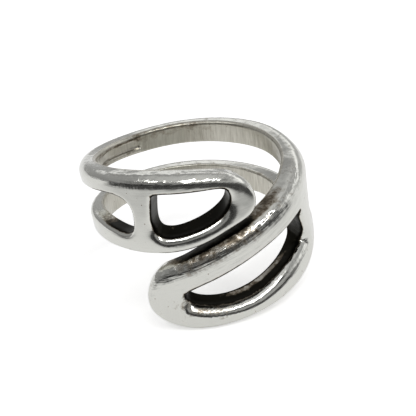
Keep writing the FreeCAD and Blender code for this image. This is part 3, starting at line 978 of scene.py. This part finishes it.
def shade_as_one(cuts):
    """Gives neighbouring pieces the same normals where they meet, so that the solder doesn't show."""
    total = np.zeros((1 + max(ids.max() for _, ids, _ in cuts), 3))
    for mesh, ids, is_solder in cuts:
        point, face = corners_of(mesh)
        shown = ~is_solder[face]
        np.add.at(total, ids[point[shown]], face_normals(mesh)[face[shown]])
    total = unit(total)
    for mesh, ids, is_solder in cuts:
        point, face = corners_of(mesh)
        across_solder = unit(face_normals(mesh))[face]
        normals = np.where(is_solder[face][:, None], across_solder, total[ids[point]])
        mesh.normals_split_custom_set(normals.tolist())


# ---------------- materials
SILVER = (0.69, 0.69, 0.65, 1)
SILVER_SHADE = (0.52, 0.52, 0.485, 1)
BORE_SILVER = (0.66, 0.64, 0.57, 1)
INSERT_SILVER = (0.58, 0.57, 0.5, 1)
BORE_SHADE = (0.24, 0.225, 0.18, 1)
# Brown and black of tarnish and of painted shade in the walls, gaps and recesses.
BROWN_FILM_AND_SHADE = (0.26, 0.215, 0.16, 1)
BLACK_TARNISH_AND_SHADE = (0.012, 0.011, 0.008, 1)

# Marks in the metal: scales of their noise per millimetre, how strong they are, their sizes in
# millimetres and how rough they are.
DENT_SCALE = 0.9
STREAK_SCALES = (0.35, 3.2, 1.0)
CLOUD_SCALE = 1.3
FILING_SCALES = (5.0, 0.5)
DENTS = 3.2
STREAKS = 1.8
CLOUD_REACH = 1.4
FILING_LEAN = 0.08
PIT_RADIUS = 0.065
PIT_SPACING = 0.85
PIT_DARKNESS = 0.8
MARK_DEPTH = 0.03
BORE_ROUGHNESS = 0.28
TARNISH_ROUGHNESS = 0.32

# What the value of a noise gives: the range of its values, and for a shade or a roughness also what
# the two ends of this range give.
CLOUD_ROUGHNESS = (0.35, 0.7, 0.1, 0.22)
CLOUD_SHADE = (0.3, 0.65, 0.86, 1.0)
FILING_SHADE = (0.3, 0.7, 0.55, 1.0)
# Ranges for the mask and the thickness of tarnish and painted shade.
TARNISH_AND_SHADE_MASK = (0.2, 0.5)
TARNISH_AND_SHADE_THICKNESS = (0.35, 0.75)


def millimetres(tree):
    """Socket of the place on the piece in millimetres."""
    return scaled(tree, add_node(tree, "ShaderNodeTexCoord").outputs["Object"], 1 / MM)


def mapped(tree, value, low, high, to_low=0.0, to_high=1.0):
    """Value that rises from to_low to to_high while the given one rises from low to high."""
    return add_node(tree, "ShaderNodeMapRange", {"Value": value, "From Min": low, "From Max": high,
                                                 "To Min": to_low, "To Max": to_high}).outputs[0]


def mixed_color(tree, share, first, second):
    """Color socket that goes from the first color to the second."""
    return add_node(tree, "ShaderNodeMix", {0: share, 6: first, 7: second}, data_type="RGBA").outputs[2]


def polish_group():
    """Soft dents and streaks that years of wear leave in a polish."""
    tree, given = new_group("Worn polish", "ShaderNodeTree", {
        "Along": "Vector", "Lean": "Float", "Wear": "Float", "Dents": "Float", "Streaks": "Float"})
    place = millimetres(tree)
    dents = noise(tree, place, DENT_SCALE, 1.5)
    turn = vector(tree, 0.0, 0.0, times(tree, given["Lean"], -1.0))
    leaning = add_node(tree, "ShaderNodeVectorRotate", {"Vector": given["Along"], "Rotation": turn},
                       rotation_type="EULER_XYZ").outputs[0]
    stretched = add_node(tree, "ShaderNodeMapping", {"Vector": leaning, "Scale": STREAK_SCALES})
    streaks = noise(tree, stretched.outputs[0], 1.0, 3.0, 0.6)
    height = maths(tree, "MULTIPLY_ADD", dents, given["Dents"], times(tree, streaks, given["Streaks"]))
    cloudy = noise(tree, place, CLOUD_SCALE, 4.0)
    put_out(tree, {"Height": times(tree, height, given["Wear"]),
                   "Roughness": mapped(tree, cloudy, *CLOUD_ROUGHNESS),
                   "Shade": mapped(tree, cloudy, *CLOUD_SHADE)})
    return tree


def tarnish_and_shade_group():
    """Brown film and black tarnish that cling where a polishing wheel can't reach, and painted shade and
    reflection in the walls, gaps and recesses.
    """
    tree, given = new_group("Tarnish and shade", "ShaderNodeTree", {"Reach": "Float"})
    cloud = noise(tree, millimetres(tree), CLOUD_SCALE, 8.0, 0.7)
    uneven = maths(tree, "MULTIPLY_ADD", maths(tree, "SUBTRACT", cloud, 0.5), CLOUD_REACH, given["Reach"])
    put_out(tree, {"Mask": mapped(tree, uneven, *TARNISH_AND_SHADE_MASK),
                   "Thickness": mapped(tree, uneven, *TARNISH_AND_SHADE_THICKNESS)})
    return tree


def pit_group():
    """Mask of pits in the casting, each as small as a pinprick."""
    tree, given = new_group("Pits", "ShaderNodeTree", {"Radius": "Float", "Spacing": "Float"})
    apart = maths(tree, "DIVIDE", 1.0, given["Spacing"])
    cells = add_node(tree, "ShaderNodeTexVoronoi", {"Vector": millimetres(tree), "Scale": apart})
    distance = times(tree, cells.outputs["Distance"], given["Spacing"])
    put_out(tree, {"Mask": maths(tree, "LESS_THAN", distance, given["Radius"])})
    return tree


def brushed_group():
    """Streaks that run along the finger, left by sizing and filing inside the bore."""
    tree, given = new_group("Brushed bore", "ShaderNodeTree", {"Along": "Vector", "Lean": "Float"})
    across, height, _ = add_node(tree, "ShaderNodeSeparateXYZ", {0: given["Along"]}).outputs
    leaning = maths(tree, "ADD", across, times(tree, height, given["Lean"]))
    across_scale, height_scale = FILING_SCALES
    stretched = vector(tree, times(tree, leaning, across_scale), times(tree, height, height_scale))
    streaks = noise(tree, stretched, 1.0, 5.0)
    put_out(tree, {"Height": streaks, "Shade": mapped(tree, streaks, *FILING_SHADE)})
    return tree


POLISH = polish_group()
TARNISH_AND_SHADE = tarnish_and_shade_group()
PITS = pit_group()
BRUSHED = brushed_group()


def empty_tree(holder):
    """Node tree of a material or a world, with no nodes in it."""
    holder.use_nodes = True
    holder.node_tree.nodes.clear()
    return holder.node_tree


def silver(name, lean, bore_color, filing):
    """Worn polished silver, with tarnish and painted shade in its recesses and a filed surface in the
    bore.

    lean is the direction of the streaks in the polish, in degrees. filing is the depth of the bore's
    own streaks as a share of MARK_DEPTH.
    """
    material = bpy.data.materials.new(name)
    tree = empty_tree(material)

    def group(made, values):
        return add_node(tree, "ShaderNodeGroup", values, node_tree=made).outputs

    along = add_node(tree, "ShaderNodeUVMap", uv_map="unrolled").outputs[0]
    bore, reach, wear = [add_node(tree, "ShaderNodeAttribute", attribute_name=label).outputs["Fac"]
                         for label in ("bore_side", "tarnish_and_shade", "wear")]
    polish = group(POLISH, {"Along": along, "Lean": math.radians(lean), "Wear": wear,
                            "Dents": DENTS, "Streaks": STREAKS})
    brushed = group(BRUSHED, {"Along": along, "Lean": FILING_LEAN})
    tarnish_and_shade = group(TARNISH_AND_SHADE, {"Reach": reach})
    pits = group(PITS, {"Radius": PIT_RADIUS, "Spacing": PIT_SPACING})

    outside = mixed_color(tree, polish["Shade"], SILVER_SHADE, SILVER)
    filed = mixed_color(tree, brushed["Shade"], BORE_SHADE, bore_color)
    clean = mixed_color(tree, bore, outside, filed)
    # The silver darkens towards brown and black with tarnish and painted shade, and at pits.
    dark = maths(tree, "MAXIMUM", tarnish_and_shade["Mask"], times(tree, pits["Mask"], PIT_DARKNESS))
    dark_color = mixed_color(tree, tarnish_and_shade["Thickness"], BROWN_FILM_AND_SHADE, BLACK_TARNISH_AND_SHADE)
    rough = mapped(tree, bore, 0.0, 1.0, polish["Roughness"], BORE_ROUGHNESS)
    rough = mapped(tree, dark, 0.0, 1.0, rough, TARNISH_ROUGHNESS)
    filing_height = times(tree, times(tree, brushed["Height"], bore), filing)
    bump = add_node(tree, "ShaderNodeBump", {
        "Height": maths(tree, "ADD", polish["Height"], filing_height),
        "Strength": 1.0, "Distance": MARK_DEPTH * MM})
    shader = add_node(tree, "ShaderNodeBsdfPrincipled", {
        "Base Color": mixed_color(tree, dark, clean, dark_color), "Metallic": 1.0,
        "Roughness": rough, "Normal": bump.outputs[0]})
    add_node(tree, "ShaderNodeOutputMaterial", {"Surface": shader.outputs[0]})
    return material


# ---------------- the pieces
METALS = {"left": silver("left loop silver", 4.0, BORE_SILVER, 0.6),
          "right": silver("right loop silver", 21.0, BORE_SILVER, 0.6),
          "shank": silver("shank silver", 3.0, BORE_SILVER, 1.0),
          "insert": silver("sizing insert silver", 3.0, INSERT_SILVER, 0.3)}
PIECES = {side + part: side for side in ("left", "right") for part in ("_loop", "_crossbar")}
for level in ("upper", "lower"):
    PIECES[level + "_shank_right"] = "shank"
    PIECES[level + "_sizing_insert"] = "insert"
    PIECES[level + "_shank_left"] = "shank"

stock = Stock()
cuts = [stock.cut_out(node, METALS[metal]) for node, metal in PIECES.items()]
shade_as_one(cuts)
for node, (mesh, _, _) in zip(PIECES, cuts):
    piece = add_object("silver_" + node, mesh)
    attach(piece, "ring")
    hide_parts(node)


# ---------------- floor, light and camera
# The table in metres: half its side, and the distances from the ring, and towards its front, over
# which its reflection in the polish goes dark. Its glow is seen by the camera and in the polish.
TABLE_HALF = 1.2
TABLE_DARKENS = (0.024, 0.06)
TABLE_FRONT = (0.01, -0.01)
TABLE_WHITE = (0.9, 0.9, 0.9, 1)
TABLE_DARK = (0.05, 0.05, 0.05, 1)
SEEN_GLOW = 0.5
REFLECTED_GLOW = 0.28


def table_material():
    """White that is bright to the camera, and that darkens in the polish away from the ring."""
    material = bpy.data.materials.new("white table")
    tree = empty_tree(material)
    path = add_node(tree, "ShaderNodeLightPath").outputs
    place = add_node(tree, "ShaderNodeTexCoord").outputs["Object"]
    distance = add_node(tree, "ShaderNodeVectorMath", {0: place}, operation="LENGTH").outputs["Value"]
    depth = add_node(tree, "ShaderNodeSeparateXYZ", {0: place}).outputs["Y"]
    far = times(tree, mapped(tree, distance, *TABLE_DARKENS), path["Is Glossy Ray"])
    far = times(tree, far, mapped(tree, depth, *TABLE_FRONT))
    glow = maths(tree, "ADD", times(tree, path["Is Camera Ray"], SEEN_GLOW),
                 times(tree, path["Is Glossy Ray"], REFLECTED_GLOW))
    shader = add_node(tree, "ShaderNodeBsdfPrincipled", {
        "Base Color": mixed_color(tree, far, TABLE_WHITE, TABLE_DARK), "Roughness": 0.9,
        "Emission Color": (1, 1, 1, 1),
        "Emission Strength": times(tree, glow, maths(tree, "SUBTRACT", 1.0, far))})
    add_node(tree, "ShaderNodeOutputMaterial", {"Surface": shader.outputs[0]})
    return material


def floor():
    """White table under the ring, which keeps the ring's soft shadow."""
    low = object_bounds()[0][2]
    mesh = bpy.data.meshes.new("floor")
    corners = [(-1, -1), (1, -1), (1, 1), (-1, 1)]
    mesh.from_pydata([(x * TABLE_HALF, y * TABLE_HALF, low) for x, y in corners], [], [(0, 1, 2, 3)])
    mesh.materials.append(table_material())
    table = add_object("floor", mesh)
    table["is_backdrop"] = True


def softbox(name, azimuth, elevation, distance, width, height, power):
    """Area lamp in metres and watts, which faces the ring from a direction in degrees."""
    lamp = bpy.data.lights.new(name, "AREA")
    lamp.shape = "RECTANGLE"
    lamp.size = width
    lamp.size_y = height
    lamp.energy = power
    light = add_object(name, lamp)
    turn = math.radians(azimuth)
    lift = math.radians(elevation)
    level = math.cos(lift)
    direction = Vector((math.sin(turn) * level, -math.cos(turn) * level, math.sin(lift)))
    light.location = direction * distance
    light.rotation_euler = direction.to_track_quat("Z", "Y").to_euler()


def grey_ramp(tree, value, stops):
    """Grey color over a value from -1 to 1, through (value, level) stops."""
    ramp = add_node(tree, "ShaderNodeValToRGB", {"Fac": maths(tree, "MULTIPLY_ADD", value, 0.5, 0.5)})
    elements = ramp.color_ramp.elements
    for _ in stops[2:]:
        elements.new(0.5)
    for element, (place, level) in zip(elements, stops):
        element.position = (place + 1) / 2
        element.color = (level, level, level, 1)
    return ramp.outputs[0]


# Greys of the studio from straight down (-1) to straight up (1), in front of and behind the ring,
# and of a wall at the back left. BEHIND and TO_LEFT are the parts of a direction, backwards and to the
# right, over which these take over. The room is brighter to the right than to the left, and a cloudy
# noise moves its bands up and down.
ROOM_FRONT = [(-1.0, 0.8), (-0.1, 0.03), (0.26, 0.06), (0.38, 0.35), (0.6, 0.3), (0.62, 0.05),
              (0.67, 0.06), (0.7, 0.5), (0.8, 0.45), (0.84, 0.15), (0.89, 0.55), (1.0, 0.6)]
ROOM_BACK = [(-1.0, 0.8), (0.0, 0.45), (0.3, 0.35), (0.37, 1.0), (0.47, 1.0), (0.53, 0.4), (0.7, 0.3),
             (0.85, 0.5), (1.0, 0.6)]
LEFT_WALL = (0.45, 0.45, 0.45, 1)
BEHIND = (-0.3, 0.3)
TO_LEFT = (-0.3, -0.5)
ROOM_BRIGHTNESS = (0.65, 1.5)
ROOM_UNEVEN = 0.5
ROOM_CLOUDS = 2.2


def studio_world():
    """Studio of dark and bright bands, which draw the lines in the polish; the camera sees white."""
    world = bpy.data.worlds.new("studio")
    bpy.context.scene.world = world
    tree = empty_tree(world)
    path = add_node(tree, "ShaderNodeLightPath").outputs
    direction = add_node(tree, "ShaderNodeTexCoord").outputs["Generated"]
    sideways, backwards, height = add_node(tree, "ShaderNodeSeparateXYZ", {0: direction}).outputs
    cloud = noise(tree, direction, ROOM_CLOUDS, 2.0)
    moved = maths(tree, "MULTIPLY_ADD", maths(tree, "SUBTRACT", cloud, 0.5), ROOM_UNEVEN, height)
    behind = mapped(tree, backwards, *BEHIND)
    front = grey_ramp(tree, moved, ROOM_FRONT)
    room = mixed_color(tree, behind, front, grey_ramp(tree, moved, ROOM_BACK))
    at_left_wall = times(tree, mapped(tree, sideways, *TO_LEFT), behind)
    seen = add_node(tree, "ShaderNodeBackground", {"Color": (1, 1, 1, 1), "Strength": 1.0})
    lit = add_node(tree, "ShaderNodeBackground", {
        "Color": mixed_color(tree, at_left_wall, room, LEFT_WALL),
        "Strength": mapped(tree, sideways, -1.0, 1.0, *ROOM_BRIGHTNESS)})
    mix = add_node(tree, "ShaderNodeMixShader", {
        0: path["Is Camera Ray"], 1: lit.outputs[0], 2: seen.outputs[0]})
    add_node(tree, "ShaderNodeOutputWorld", {"Surface": mix.outputs[0]})


# The camera stands where the photograph's stood, and MIDDLE_PIXEL is where the bore's middle shows.
# CAMERA_DISTANCE is in millimetres.
CAMERA_ELEVATION = math.radians(26.0)
CAMERA_ROLL = math.radians(9.0)
CAMERA_DISTANCE = 220.0
PIXELS_PER_MM = 10.4266
FRAME_PIXELS = 416
MIDDLE_PIXEL = (195.3, 201.9)


def camera():
    """Camera at the photograph's angle: in front, from above, and turned a little about its axis."""
    lens = bpy.data.cameras.new("camera")
    lens.sensor_width = 36.0
    lens.lens = PIXELS_PER_MM * CAMERA_DISTANCE / FRAME_PIXELS * lens.sensor_width
    lens.shift_x = (FRAME_PIXELS / 2 - MIDDLE_PIXEL[0]) / FRAME_PIXELS
    lens.shift_y = (MIDDLE_PIXEL[1] - FRAME_PIXELS / 2) / FRAME_PIXELS
    lens.clip_start = 0.01
    right = Vector((1, 0, 0))
    up = Vector((0, math.sin(CAMERA_ELEVATION), math.cos(CAMERA_ELEVATION)))
    back = Vector((0, -math.cos(CAMERA_ELEVATION), math.sin(CAMERA_ELEVATION)))
    across = right * math.cos(CAMERA_ROLL) - up * math.sin(CAMERA_ROLL)
    upwards = right * math.sin(CAMERA_ROLL) + up * math.cos(CAMERA_ROLL)
    view = add_object("camera", lens)
    turn = Matrix((across, upwards, back)).transposed().to_4x4()
    view.matrix_world = Matrix.Translation(back * CAMERA_DISTANCE * MM) @ turn
    bpy.context.scene.camera = view


floor()
softbox("key softbox", azimuth=26, elevation=56, distance=0.6, width=0.5, height=0.08, power=1.0)
softbox("left softbox", azimuth=-60, elevation=57, distance=0.6, width=0.2, height=0.06, power=0.3)
studio_world()
camera()
bpy.context.scene.view_settings.view_transform = "Standard"
